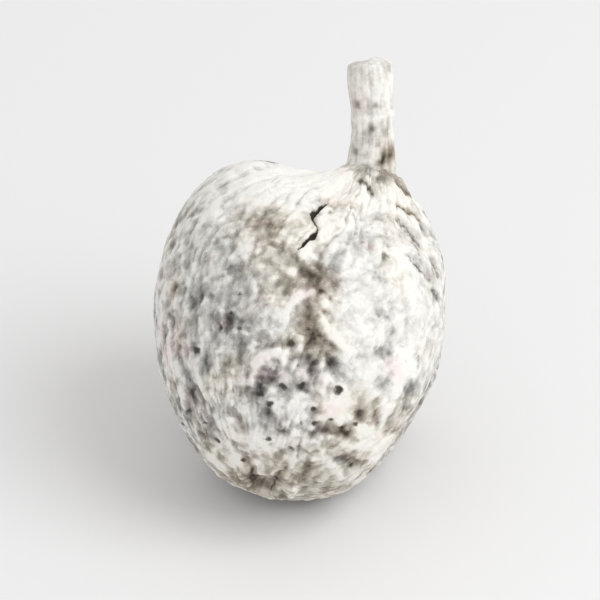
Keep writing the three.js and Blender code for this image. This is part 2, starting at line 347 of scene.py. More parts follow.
# Where flour is thin (above 0) or thick (below 0): right, up, half width, half height, tilt and amount.
marks = (
    # thin: on the crown and round the neck
    (10.9, 20.6, 0.5, 1.0, 0, 0.3), (8.1, 19.0, 0.4, 0.9, 25, 0.24), (9.9, 18.7, 0.9, 0.6, 20, 0.24),
    (-9.0, 17.6, 0.6, 1.1, 0, 0.16), (-3.7, 13.8, 1.1, 2.6, -15, 0.14), (-2.6, 11.4, 0.9, 1.4, 0, 0.14),
    (7.4, 10.9, 1.2, 1.0, 30, 0.14), (10.6, 9.7, 0.45, 0.4, 0, 0.4), (7.7, 9.6, 0.4, 0.3, 0, 0.2),
    (-0.4, 8.6, 1.4, 0.8, 30, 0.06),
    # in the middle, under the crack
    (1.7, 7.5, 1.3, 1.6, 0, 0.37), (4.0, 7.4, 1.2, 2.2, 0, 0.24), (-3.0, 6.0, 5.0, 6.0, 0, 0.12),
    (2.9, 5.3, 0.45, 0.45, 0, 0.5), (1.5, 2.4, 0.95, 1.6, 0, 0.46), (1.8, 0.8, 0.8, 0.9, 0, 0.14),
    (1.9, -0.7, 1.0, 1.0, 0, 0.36), (-1.2, -1.1, 0.6, 0.6, 0, 0.26), (4.1, -1.1, 1.3, 0.45, 40, 0.34),
    (3.2, -2.0, 0.6, 1.0, 0, 0.2), (-2.8, -3.3, 0.5, 0.9, -20, 0.2), (1.5, -3.4, 0.8, 1.3, 0, 0.42),
    (3.9, -3.5, 0.8, 1.3, -10, 0.4),
    # on the left
    (-7.8, 8.1, 1.6, 0.7, -10, 0.32), (-10.6, 5.0, 2.4, 1.4, 0, 0.12), (-8.2, 2.2, 1.0, 1.5, 0, 0.24),
    (-7.1, -0.7, 0.9, 1.1, 0, 0.3), (-6.4, -0.8, 1.2, 1.8, 0, 0.14), (-12.6, -1.8, 0.6, 0.9, 0, 0.36),
    (-6.9, -2.4, 0.8, 0.9, 0, 0.3), (-11.2, -3.6, 0.6, 1.4, 10, 0.34), (-14.6, -4.6, 0.8, 2.6, 0, 0.12),
    # on the right
    (9.8, 7.6, 0.9, 0.5, -20, 0.16), (9.7, 2.7, 0.45, 0.45, 0, 0.3), (10.9, 2.0, 0.35, 0.9, -25, 0.2),
    (11.5, 0.6, 0.45, 0.7, 0, 0.3), (9.6, -1.9, 0.8, 0.5, 10, 0.3), (11.0, -2.1, 0.7, 0.4, -10, 0.28),
    (7.4, -2.6, 0.4, 0.6, 0, 0.12), (10.2, -2.8, 0.4, 0.6, 0, 0.2), (14.6, -2.8, 0.2, 1.1, 0, 0.26),
    (10.1, -5.7, 1.4, 0.6, -10, 0.22), (13.5, -6.4, 0.7, 1.1, 0, 0.5), (7.4, -8.0, 0.6, 1.4, 0, 0.2),
    (13.1, -8.4, 0.6, 0.9, 0, 0.24), (9.2, -9.2, 0.6, 1.3, 0, 0.28), (7.4, -9.7, 0.9, 0.8, 0, 0.26),
    (11.9, -11.4, 1.1, 0.7, 0, 0.16), (5.8, -12.1, 0.8, 0.5, 0, 0.2),
    # the dark patch, and beside it
    (-4.2, -5.8, 1.0, 1.9, 28, 0.36), (-9.0, -6.0, 5.0, 6.0, 0, 0.05), (0.7, -6.3, 0.55, 1.3, -42, 0.55),
    (-12.7, -7.0, 0.7, 1.5, 0, 0.28), (-14.0, -8.0, 2.4, 4.0, 0, 0.06), (-5.1, -8.5, 0.3, 0.6, 0, 0.3),
    (-3.8, -8.9, 0.7, 1.1, 0, 0.5), (1.8, -9.2, 0.5, 0.7, 0, 0.3), (-12.4, -9.6, 1.6, 2.6, 20, 0.08),
    # lower down, and round the eye
    (2.1, -11.4, 0.9, 0.8, 0, 0.34), (4.8, -11.6, 2.0, 0.7, 0, 0.28), (-6.6, -11.8, 0.8, 2.0, 0, 0.16),
    (-1.9, -11.8, 0.4, 0.8, 0, 0.26), (-11.0, -12.6, 0.8, 1.6, 25, 0.24), (4.3, -13.4, 0.8, 0.4, 0, 0.3),
    (-9.4, -14.0, 0.4, 1.3, 25, 0.24), (0.0, -14.2, 0.25, 0.9, 5, 0.36),
    (-2.6, -14.7, 0.8, 0.8, 0, 0.14), (5.8, -15.4, 1.8, 0.8, 14, 0.4), (1.1, -15.6, 0.45, 1.2, 0, 0.36),
    (8.0, -15.6, 0.8, 0.6, 0, 0.2), (-8.6, -16.6, 1.6, 0.8, 35, 0.2), (9.6, -17.0, 1.2, 0.6, -35, 0.3),
    (0.5, -17.2, 0.5, 0.9, 0, 0.26), (-4.5, -17.4, 0.9, 0.7, 0, 0.12), (-3.8, -18.0, 4.2, 1.8, 0, 0.22),
    (3.2, -18.4, 1.8, 0.8, 0, 0.16),
    # thick, from the crown down
    (-2.0, 19.4, 7.5, 2.8, 6, -0.18), (-8.4, 15.8, 2.4, 1.4, 0, -0.14),
    (-13.6, 14.6, 1.8, 1.8, 0, -0.14), (8.6, 12.6, 1.0, 1.0, 0, -0.1), (4.0, 10.8, 3.0, 3.4, 20, -0.1),
    (13.6, 9.6, 1.2, 1.6, 0, -0.14), (-15.6, 4.0, 1.2, 4.0, 0, -0.14), (-1.8, 3.6, 1.6, 1.4, 0, -0.1),
    (-1.0, 2.0, 0.7, 1.4, 0, -0.12), (-5.9, 1.2, 0.9, 1.2, 0, -0.3), (-4.7, 0.1, 0.9, 0.8, 0, -0.12),
    (12.2, -4.4, 1.0, 1.0, 0, -0.2), (-9.4, -4.6, 1.2, 3.2, 0, -0.18), (-7.6, -4.6, 1.0, 1.4, 0, -0.04),
    (4.2, -5.4, 1.0, 0.8, 0, -0.2), (-14.2, -6.6, 0.7, 1.6, 0, -0.2), (0.0, -8.8, 1.6, 1.4, 0, -0.22),
    (4.6, -9.2, 1.5, 1.3, 0, -0.42), (-6.2, -9.6, 1.8, 1.4, 0, -0.14), (7.4, -11.1, 0.5, 0.4, 0, -0.5),
    (-6.0, -12.2, 1.6, 1.0, 0, -0.14), (3.9, -12.4, 0.6, 0.4, 0, -0.3), (1.4, -12.6, 1.4, 1.0, 0, -0.2),
    (10.6, -12.6, 2.4, 3.2, 30, -0.17), (8.6, -13.2, 2.6, 1.0, 30, -0.2),
    (-9.0, -15.0, 3.0, 3.0, 0, -0.06),
)

# Where the skin shows brown (above 0) or grey (below 0) through the flour: the same, without a tilt.
browns = (
    (-4.0, 19.4, 7.0, 2.4, -0.8), (8.8, 19.0, 3.0, 2.0, 0.8), (-4.2, 13.0, 3.2, 4.5, 0.9),
    (14.0, 13.0, 3.0, 6.0, 1.0), (-12.6, 11.0, 4.0, 6.0, -0.8), (1.6, 7.4, 3.0, 2.6, 1.2),
    (-8.6, 2.4, 4.0, 4.0, -1.0), (11.0, 2.0, 5.0, 7.0, -0.8), (2.0, 1.6, 2.0, 3.4, 1.2),
    (-11.6, -3.6, 1.6, 2.2, -1.0), (0.6, -6.4, 1.4, 2.0, -1.5), (-13.2, -7.0, 1.4, 5.0, -0.7),
    (-9.0, -8.0, 5.0, 5.0, 0.3), (7.6, -9.6, 2.6, 2.4, 1.2), (-1.6, -9.8, 3.0, 2.0, -1.2),
    (4.0, -11.4, 3.0, 1.2, 0.8), (9.0, -14.0, 5.0, 4.0, 1.8), (-9.6, -15.4, 2.6, 3.0, 1.0),
    (5.8, -15.4, 2.6, 1.4, -1.2), (-2.0, -18.4, 8.0, 3.0, 1.4),
)

# Where the flour is tinted pink.
pinks = (
    (-4.6, 13.6, 1.4, 2.0, 0.8), (7.8, 10.5, 2.0, 1.4, 1.3), (-1.0, 9.6, 1.6, 1.2, 0.6),
    (4.0, 7.6, 1.4, 2.2, 0.8), (1.2, 4.8, 2.6, 1.2, 0.85), (-16.2, 1.6, 1.8, 6.0, 0.9),
    (-4.6, -2.8, 2.2, 1.4, 0.5), (-4.2, -4.0, 2.4, 3.0, 1.3), (11.6, -4.0, 2.0, 2.0, 0.5),
    (-13.4, -6.4, 1.6, 4.6, 0.9), (4.4, -9.0, 1.8, 1.2, 0.8), (12.6, -11.6, 2.0, 3.4, 0.9),
    (0.6, -12.0, 3.0, 1.4, 0.5), (-2.0, -17.6, 3.0, 1.4, 0.5),
)

# Small dark specks, where a flake of flour has come off: right, up and radius.
specks = (
    (-6.9, 5.0, 0.14), (-12.9, 4.6, 0.18), (-8.1, 2.8, 0.24), (-9.4, 0.9, 0.3), (-7.3, 0.8, 0.2),
    (-1.0, -0.9, 0.4), (-12.4, -1.8, 0.34), (0.4, -5.9, 0.34), (-1.9, -6.2, 0.36), (4.9, -6.6, 0.46),
    (-4.6, -7.0, 0.28), (-12.9, -7.1, 0.38), (-3.5, -8.3, 0.42), (1.7, -8.9, 0.3), (-13.4, -9.2, 0.22),
    (4.0, -10.3, 0.18), (-11.4, -10.6, 0.18), (1.9, -10.7, 0.3), (-14.2, -10.8, 0.18),
    (7.0, -10.8, 0.28), (-3.6, -12.4, 0.26), (-10.0, -12.7, 0.28), (-1.0, -13.6, 0.18),
    (-6.8, -15.2, 0.18), (9.0, -16.9, 0.3),
)

# Places that are smoother, and whiter as painted light, on the right and on the crown: like the marks, but
# with the shares of their size at which they end and are full.
calmAndPaintedLightPlaces = ((11.4, 2.5, 7.0, 10.0, 0, 1.3, 0.8), (-2.5, 19.5, 9.0, 4.6, 6, 1.35, 0.7))
# The crown's is painted light too: by height, and starting lower on the right, so whiter towards the top and
# the right.
calmAndPaintedLightOnCrown = {"amount": 0.6, "from": (9, 15), "lowerOnRight": 0.3}     # the same by height, in front

ragged = {"line": 0.2, "speck": 0.3, "mark": 0.4, "calmAndPaintedLight": 0.8}    # how far their edges wander, in mm
farOff = 9                                    # a distance at which nothing of a line or spot is left
ballSize = 20                                 # the patterns lie on a ball of about the fruit's size
frontFrom = (-2, 3)                           # mm in front of the middle where the front starts, and is full
seenHigher = 0.45                             # as the camera, which stands a little high, sees it
seenFrom = plain[..., [0, 2]] + (0, seenHigher)
ball = ways * ballSize
inFront = ease(-plain[..., 1], *frontFrom)    # 1 on the front, 0 behind


def fromSpot(right, up, wide, tall, tilt=0, wobble=0):  # 0 at the spot, 1 on the oval round it
    across, along = np.moveaxis(seenFrom + wobble - (right, up), -1, 0)
    cos, sin = math.cos(math.radians(tilt)), math.sin(math.radians(tilt))
    away = np.hypot((across * cos - along * sin) / wide, (across * sin + along * cos) / tall)
    return away + farOff * (1 - inFront)


def fromLine(points, wobble):  # distance to the edge of a drawn line, below 0 inside it
    places = seenFrom + wobble
    nearest = np.full(places.shape[:-1], np.inf)
    for start, end in zip(points, points[1:]):
        line = np.subtract(end, start)[:2]
        along = np.clip((places - start[:2]) @ line / (line @ line), 0, 1)
        far = np.linalg.norm(places - start[:2] - along[..., None] * line, axis=-1)
        nearest = np.minimum(nearest, far - start[2] * (1 - along) - end[2] * along)
    return nearest + farOff * (1 - inFront)


broad, warp, creased, netted, patchy, crinkled, streaked, dotted = (
    Noise(seed) for seed in (11, 23, 37, 41, 59, 67, 73, 83))
fromNeck = angleFrom(ways, neckWay)
fromEye = angleFrom(ways, eyeWay)
offPoles = 1 - bell(fromNeck, 11) - bell(fromEye, 22)
warped = np.stack([warp.layered(ball / 5 + 31 * axis, 3) for axis in range(3)], axis=-1)
wobble = np.stack([crinkled.smooth(ball * 1.1 + 9 * axis) for axis in range(2)], axis=-1)


# Layered noise with features of about size mm. Apart takes another stretch of it, and drift bends it.
def pattern(noise, size, layers=2, fade=0.5, apart=0, drift=0):
    return noise.layered(ball / size + apart + drift * warped, layers, fade)


def runs(wide, long):  # places for a pattern that runs from the neck to the eye
    along = np.stack([np.cos(turn) / wide, np.sin(turn) / wide, polar / long], axis=-1)
    return along * ballSize + 0.45 * warped


def scattered(size, radius, least, apart=0):  # 1 inside round spots in those cells whose draw is above least
    nearest, draw = dotted.cells(ball / size + apart + 0.15 * warped)[::2]
    return ease(nearest * size, radius * draw, 0.2 * draw) * (draw > least)


# Calm places: smoother flour, and whiter flour as painted light on the lit right and the top.
height = plain[..., 2] + calmAndPaintedLightOnCrown["lowerOnRight"] * plain[..., 0]
calmAndPaintedLight = calmAndPaintedLightOnCrown["amount"] * ease(height, *calmAndPaintedLightOnCrown["from"]) * inFront
for right, up, across, tall, tilt, edge, full in calmAndPaintedLightPlaces:
    spot = fromSpot(right, up, across, tall, tilt, ragged["calmAndPaintedLight"] * wobble)
    calmAndPaintedLight = np.maximum(calmAndPaintedLight, ease(spot, edge, full))

dimples = pattern(broad, skin["dimpleSize"])
comes = ease(pattern(broad, skin["foldPatch"], apart=5), *skin["patchFrom"])     # where folds show more
foldNoise = creased.layered(runs(skin["foldWide"], skin["foldLong"]), 2, 0.4)
folds = 1 - bell(foldNoise, skin["foldEdge"])              # narrow creases between broad tops
nearest, second = netted.cells(runs(skin["pillowWide"], skin["pillowLong"]))[:2]
pillows = ease(second - nearest, 0, skin["pillowEdge"])
netStrength = ease(pattern(patchy, skin["pillowPatch"], apart=9), *skin["patchFrom"])
netStrength = skin["pillowLeast"] + (1 - skin["pillowLeast"]) * netStrength
netStrength = netStrength * (1 - skin["pillowLessWhereCalm"] * calmAndPaintedLight)
crinkles = pattern(crinkled, skin["crinkleSize"], 3, 0.6)
crests = bell(pattern(creased, skin["crestSize"], apart=60, drift=0.5), skin["crestWide"])  # raised lines

# Narrow pleats: grooves at even turns round the neck, which wander and come and go.
pleatTurn = skin["pleats"] / 2 * (turn + skin["pleatWander"] * warped[..., 0])
pleatComes = bell(fromNeck - skin["pleatAt"], skin["pleatSpread"]) * (1 - skin["pleatLessInFront"] * inFront)
pleatComes = pleatComes * ease(creased.smooth(runs(*skin["pleatPatch"]) + 20), *skin["pleatPatchFrom"])
grooves = skin["pleatGroove"] * bell(np.sin(pleatTurn), skin["pleatWide"]) * pleatComes
bare = np.full(turn.shape, float(farOff))     # distance to the nearest crease or speck, for the finish
for amount, points in lines:
    far = fromLine(points, ragged["line"] * wobble)
    grooves = grooves + amount * ease(far, *skin["creaseEdge"])
    if amount > openCrease:
        bare = np.minimum(bare, far + bareInside)
for right, up, radius in specks:
    spot = fromSpot(right, up, radius, radius, 0, ragged["speck"] * wobble)
    bare = np.minimum(bare, radius * (spot - 1))


dust = {                                      # the flour's thickness, from 0, bare, to 1, caked; sizes in mm
    # The extra flour where calm, whitening the lit right and the crown, is painted light.
    "plain": 0.7, "calmAndPaintedLight": 0.14, "onLeft": 0.03,            # everywhere, and more in two places
    "leftWay": (-0.8, -0.45, -0.15), "leftFrom": (0.1, 0.7),
    "clouds": 0.24, "cloudSize": 2.6, "mottles": 0.12, "mottleSize": 1.3, "mottleEdge": 2.4,
    "evenWhereCalm": 0.55,                    # how much of the clouds and mottles is missing there
    "behind": 0.16, "behindSize": 8,          # broad unevenness behind
    "damp": 0.26, "dampSize": 3.6, "dampFrom": (0.2, 0.9), "dampLessWhereCalm": 0.9,     # eaten by damp
    "dots": 0.28, "dotSize": 2.4, "dotRadius": 0.6, "dotLeast": 0.45,      # small round spots taken off,
    "clusterSize": 5, "clusterFrom": (0, 0.5),             # in clusters
    "flakes": 0.22, "flakeSize": 1.7, "flakeRadius": 0.7, "flakeLeast": 0.55,            # thicker spots
    "crests": 0.3, "crestsLessInFront": 0.16, "crinkles": 0.04,
    "streaks": 0.07, "streaksMoreOnLeft": 0.1, "streaksLessWhereCalm": 0.05,
    "streakWide": 1, "streakLong": 4.2, "streaksFromEye": (14, 34), "streaksFromNeck": (6, 16),
    "ring": 0.16, "ringAt": 20, "ringSpread": 7,           # thick round the neck, by degrees from it
    "foot": 0.2, "footAt": 9, "footSpread": 4,             # and thin close to the stalk
    # Taking flour off in the creases also paints shade into them.
    "folds": 0.4, "foldsLessInFront": 0.26, "net": 0.07, "grooves": 0.7,      # taken off in the creases
    "marks": 1.25,
    "rubbed": 0.14, "rubbedFrom": (15, 19),   # taken off underneath, by mm below the middle
}

onLeft = ease(ways @ unit(dust["leftWay"]), *dust["leftFrom"])
damp = pattern(patchy, dust["dampSize"], 3, 0.55, drift=0.35) - dust["dampLessWhereCalm"] * calmAndPaintedLight
damp = ease(damp, *dust["dampFrom"])
clouds = pattern(broad, dust["cloudSize"], 2, 0.6, 40, 0.5)
mottles = np.tanh(dust["mottleEdge"] * pattern(patchy, dust["mottleSize"], 2, 0.6, 60, 0.3))
dots = scattered(dust["dotSize"], dust["dotRadius"], dust["dotLeast"]) * (1 - calmAndPaintedLight)
dots = dots * ease(pattern(warp, dust["clusterSize"], apart=150), *dust["clusterFrom"])
flakes = scattered(dust["flakeSize"], dust["flakeRadius"], dust["flakeLeast"], apart=30)
streaks = streaked.layered(runs(dust["streakWide"], dust["streakLong"]), 2, 0.35)
streaks = streaks * ease(fromEye, *dust["streaksFromEye"]) * ease(fromNeck, *dust["streaksFromNeck"])

# The extra flour where calm is painted light.
flour = dust["plain"] + dust["calmAndPaintedLight"] * calmAndPaintedLight + dust["onLeft"] * onLeft
flour = flour + (1 - dust["evenWhereCalm"] * calmAndPaintedLight) * (dust["clouds"] * clouds + dust["mottles"] * mottles)
flour = flour + dust["behind"] * (1 - inFront) * pattern(broad, dust["behindSize"], apart=200)
flour = flour - dust["damp"] * damp - dust["dots"] * dots + dust["flakes"] * flakes
flour = flour + (dust["crests"] - dust["crestsLessInFront"] * inFront) * crests + dust["crinkles"] * crinkles
streakiness = dust["streaks"] + dust["streaksMoreOnLeft"] * onLeft - dust["streaksLessWhereCalm"] * calmAndPaintedLight
flour = flour + streakiness * streaks
flour = flour + dust["ring"] * bell(fromNeck - dust["ringAt"], dust["ringSpread"])
flour = flour - dust["foot"] * bell(fromNeck - dust["footAt"], dust["footSpread"])
# Less flour in the folds, between the cushions and in the grooves darkens them: partly painted shade.
flour = flour - (dust["folds"] - dust["foldsLessInFront"] * inFront) * (1 - folds) * comes * offPoles
flour = flour - dust["net"] * (1 - pillows) * netStrength * offPoles - dust["grooves"] * grooves
for right, up, across, tall, tilt, amount in marks:
    spot = fromSpot(right, up, across, tall, tilt, ragged["mark"] * wobble)
    flour = flour - dust["marks"] * amount * bell(spot, 1)
flour = flour - dust["rubbed"] * ease(-(plain @ bodyAxes)[..., 2], *dust["rubbedFrom"])

tints = {                                     # noise of that strength and size, and its level
    "brown": 1.2, "brownSize": 6, "brownFrom": (-0.5, 1.2),          # from grey to brown
    "pinkSize": 3.5, "pinkLess": 0.5, "pinkFrom": (-0.1, 0.6),       # from none to full
}
brown = tints["brown"] * pattern(warp, tints["brownSize"], apart=80)
pink = pattern(warp, tints["pinkSize"], apart=120) - tints["pinkLess"]
for right, up, across, tall, amount in browns:
    brown = brown + amount * bell(fromSpot(right, up, across, tall), 1)
for right, up, across, tall, amount in pinks:
    pink = pink + amount * bell(fromSpot(right, up, across, tall), 1)

# The eye: two rings of small scales that close over it, each a step with a wavy edge.
scaleTurn = turn + skin["scaleWander"] * warped[..., 1]
scales = 0
for radius, wave, count, start in skin["scaleRings"]:
    edge = radius + wave * np.abs(np.sin(count * scaleTurn + start)) ** skin["scalePoint"]
    scales = scales + ease(edge - fromEye, *skin["scaleEdge"])

gap = fromLine(crackLine, ragged["line"] * wobble)

foldDepth = skin["fold"] + skin["foldBehind"] * (1 - inFront)
relief = (skin["dimple"] * dimples
          + foldDepth * (folds - skin["foldMean"]) * comes * offPoles
          + skin["pillow"] * (pillows - skin["pillowMean"]) * netStrength * offPoles
          + skin["crinkle"] * (crinkles + crests)
          - skin["pleat"] * grooves
          + skin["scale"] * (scales - bell(fromEye, skin["scaleSpread"]))
          + skin["flourThick"] * ease(flour, *skin["flourEdge"])
          + skin["crackLip"] * bell(gap - skin["crackLipAt"], skin["crackLipWide"])
          - skin["crackDepth"] * ease(-gap, *skin["crackEdge"]))
for way, spread, depth in skin["besideNeck"]:
    relief = relief - depth * bell(angleFrom(ways, way), spread)

# The sheath falls away from the stalk's side as e to the power of the distance to it, so it meets it steeply.
seat = neckWay * seatHeight
aside = np.linalg.norm(np.cross(plain - seat, seatWay), axis=-1) + 90 * (fromNeck > 60)    # only up here
sheath = skin["sheath"] * np.exp(-np.maximum(aside - skin["sheathFrom"], 0) / skin["sheathOut"])
carved = plain + ways * relief[..., None] + seatWay * sheath[..., None]

shape = press(carved @ bodyAxes + centre)
neckPole = press((seat + seatWay * skin["sheath"]) @ bodyAxes + centre)
eyePole = press(eyeWay * (roundBody(eyeWay) - form["eyeDip"] + skin["scale"]) @ bodyAxes + centre)

# The poles' own values: the first is hidden under the stalk, and the last is in the eye.
fruit = closedSurface("fig_skin", shape, neckPole, eyePole, {
    "flour": withPoles(flour, 0.5, 0.2),
    "gap": withPoles(gap, farOff, farOff),
    "bare": withPoles(bare, farOff, farOff),
    "brown": withPoles(ease(brown, *tints["brownFrom"]), 0.5, 0.8),
    "pink": withPoles(ease(pink, *tints["pinkFrom"]), 0, 0.3),
})
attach(fruit, "root")
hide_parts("fruit")
print("fruit:", len(fruit.data.polygons), "faces")


stalk = {                                     # in mm, and shares of its length
    "long": 13.3, "gap": 0.3, "footShare": 0.25, "waist": 2.35, "oval": 1.08,
    "footFlare": 0.55, "footFlareLong": 0.25, "tipFlare": 0.22, "tipFlareLong": 0.35,
    "cut": 1, "cutSharpness": 4, "dome": 0.5, "knob": 0.55, "knobAt": (1.3, 0.4), "knobWide": 1.4,
    "tipWay": (-0.06, -0.17, 0.98),
    "intoNeck": 0.09,                         # share of its length that runs down into the neck
    "rib": 0.14, "ribs": 5, "ribWander": 1.2, "ribLong": 0.35, "ribAbove": 0.35,     # weaker above the foot
    "fibre": 0.05, "lump": 0.16,
    "knotAt": 0.58, "knot": 0.2, "knotLong": 0.03,         # a raised ring
    "knotTilt": 0.03, "knotWander": 0.02, "knotUneven": 0.4,
    "endGrain": 0.12, "endGrainSize": 1.1,
    "rows": 130, "capRows": 16, "columns": 110,
}

seatDir = seatWay @ bodyAxes
tipDir = unit(stalk["tipWay"]) @ bodyAxes
foot = neckWay * seatHeight @ bodyAxes + centre + seatDir * stalk["gap"]
bendPoint = foot + seatDir * stalk["long"] * stalk["footShare"]
upright = stalk["long"] * (1 - stalk["footShare"])
line = np.array([foot, bendPoint, bendPoint + tipDir * upright / 2, bendPoint + tipDir * upright])


def onLine(t):  # point and direction on the cubic Bezier curve of four points
    t = t[..., None]
    point = ((1 - t) ** 3 * line[0] + 3 * t * (1 - t) ** 2 * line[1]
             + 3 * t * t * (1 - t) * line[2] + t ** 3 * line[3])
    slope = ((1 - t) ** 2 * (line[1] - line[0]) + 2 * t * (1 - t) * (line[2] - line[1])
             + t * t * (line[3] - line[2]))
    return point, unit(slope)


# Side rows climb from inside the neck to the rim; cap rows then close in over the domed end.
sideShare = np.linspace(-stalk["intoNeck"], 1, stalk["rows"])
inward = np.sin(np.linspace(0, math.pi / 2, stalk["capRows"] + 2)[1:-1])
along, around = np.meshgrid(np.concatenate([sideShare, np.ones(stalk["capRows"])]),
                            2 * math.pi * np.arange(stalk["columns"]) / stalk["columns"], indexing="ij")
rim = np.concatenate([np.ones(stalk["rows"]), np.sqrt(1 - inward ** 2)])[:, None]
lift = np.concatenate([np.zeros(stalk["rows"]), inward])[:, None]


def roundStalk(across, length):  # places for a pattern on its side; larger is finer
    return np.stack([np.cos(around) * across, np.sin(around) * across, along * length], axis=-1)


woody = Noise(71)
grainPlaces = roundStalk(2.4, 4)
ribs = np.cos(stalk["ribs"] * around + stalk["ribWander"] * woody.smooth(grainPlaces * [0.5, 0.5, 0.8]))
fibres = woody.layered(roundStalk(7, 3), 2)
lumps = woody.layered(grainPlaces * [0.6, 0.6, 1.1] + 7, 2)
radius = (stalk["waist"] + stalk["footFlare"] * bell(along, stalk["footFlareLong"])
          + stalk["tipFlare"] * bell(along - 1, stalk["tipFlareLong"]))
ribStrength = stalk["ribAbove"] + (1 - stalk["ribAbove"]) * bell(along, stalk["ribLong"])
radius = radius + stalk["rib"] * ribs * ribStrength + stalk["fibre"] * fibres + stalk["lump"] * lumps
fromKnot = along - stalk["knotAt"] - stalk["knotTilt"] * np.cos(around + 1) - stalk["knotWander"] * lumps
knotRing = bell(fromKnot, stalk["knotLong"])
knotHeight = stalk["knot"] * knotRing * (1 - stalk["knotUneven"] + stalk["knotUneven"] * np.cos(around - 0.2))
radius = radius + knotHeight
point, direction = onLine(np.clip(along, -1, 1))
side = unit(np.array([1, 0, 0]) - direction * direction[..., :1])
front = np.cross(side, direction)
offX = radius * rim * np.cos(around) * stalk["oval"]
offY = radius * rim * np.sin(around)
slant = np.maximum(along, 0) ** stalk["cutSharpness"] * math.tan(math.radians(stalk["cut"])) * offX
endPlaces = np.stack([offX, offY, 0 * offX], axis=-1) / stalk["endGrainSize"]
endGrain = stalk["endGrain"] * woody.layered(endPlaces, 3) * (1 - rim ** 4)
fromKnob = np.hypot(offX - stalk["knobAt"][0], offY - stalk["knobAt"][1])
rise = slant + stalk["dome"] * lift + endGrain + stalk["knob"] * lift * bell(fromKnob, stalk["knobWide"])
stalkShape = point + side * offX[..., None] + front * offY[..., None] + direction * rise[..., None]
tipPole = stalkShape[-1].mean(axis=0)
footPole = stalkShape[0].mean(axis=0)

# Where its flour is thin (above 0) or thick (below 0), on its front: right of its middle, share of its
# length, width, height and amount.
stalkMarks = (
    # over the ring, and above it
    (-1.8, 0.69, 0.4, 0.035, 0.45), (0.5, 0.68, 0.45, 0.03, 0.4), (1.3, 0.72, 0.25, 0.06, 0.14),
    (-1.4, 0.86, 1.2, 0.12, -0.05), (0.9, 0.85, 1.2, 0.1, -0.12),
    # under the ring
    (-0.1, 0.475, 0.45, 0.04, 0.4), (1.5, 0.44, 0.4, 0.05, 0.4), (-1.0, 0.4, 1.8, 0.12, 0.14),
    (0.7, 0.32, 0.35, 0.03, 0.25), (-2.0, 0.235, 0.4, 0.04, 0.4), (-0.9, 0.2, 0.6, 0.04, 0.2),
    (1.1, 0.15, 0.35, 0.03, 0.35), (-0.6, 0.08, 0.6, 0.04, 0.3),
    # the scar on the right
    (1.4, 0.2, 0.28, 0.08, 0.42), (2.3, 0.2, 0.42, 0.1, 0.42), (1.9, 0.22, 0.7, 0.13, 0.3),
)
stalkDust = {"plain": 0.8, "uneven": 0.14, "ring": 0.2, "fibres": 0.1, "foot": 0.1, "footLong": 0.12}
stalkFlour = (stalkDust["plain"] + stalkDust["uneven"] * woody.layered(grainPlaces * 1.2 + 3, 3)
              + stalkDust["ring"] * knotRing + stalkDust["fibres"] * fibres
              - stalkDust["foot"] * bell(along, stalkDust["footLong"]))
for right, share, across, tall, amount in stalkMarks:
    spot = np.sqrt(((offX - right) / across) ** 2 + ((along - share) / tall) ** 2)
    stalkFlour = stalkFlour - amount * bell(spot, 1) * (offY > 0)

# Brown round the scar. Pink above the ring on the left, and beside the scar.
stalkBrown = 0.3 + bell(along - 0.2, 0.16) * ease(offX, 0, 2) + 0.3 * woody.smooth(grainPlaces * 0.7 + 50)
stalkPink = 0.7 * bell(along - 0.74, 0.16) * ease(-offX, -0.6, 1.2)
stalkPink = stalkPink + 0.5 * bell(along - 0.3, 0.06) * bell(offX - 1, 1)
stalkPiece = closedSurface("fig_stalk", stalkShape[:, ::-1], footPole, tipPole, {
    "flour": withPoles(stalkFlour[:, ::-1], 0.3, 0.6),
    "brown": withPoles(np.clip(stalkBrown, 0, 1)[:, ::-1], 0.5, 0.5),
    "pink": withPoles(stalkPink[:, ::-1], 0, 0),
})
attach(stalkPiece, "root")
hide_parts("stalk")
print("stalk:", len(stalkPiece.data.polygons), "faces")


class Amount:  # wraps a node's output, so that sums on it add Math nodes
    def __init__(self, nodes, socket):
        self.nodes = nodes
        self.socket = socket

    def sum(self, operation, first, second):
        return self.nodes.add("ShaderNodeMath", {"operation": operation}, {0: first, 1: second})

    def __add__(self, other):
        return self.sum("ADD", self, other)

    def __radd__(self, other):
        return self.sum("ADD", other, self)

    def __sub__(self, other):
        return self.sum("SUBTRACT", self, other)

    def __rsub__(self, other):
        return self.sum("SUBTRACT", other, self)

    def __mul__(self, other):
        return self.sum("MULTIPLY", self, other)

    def __rmul__(self, other):
        return self.sum("MULTIPLY", other, self)


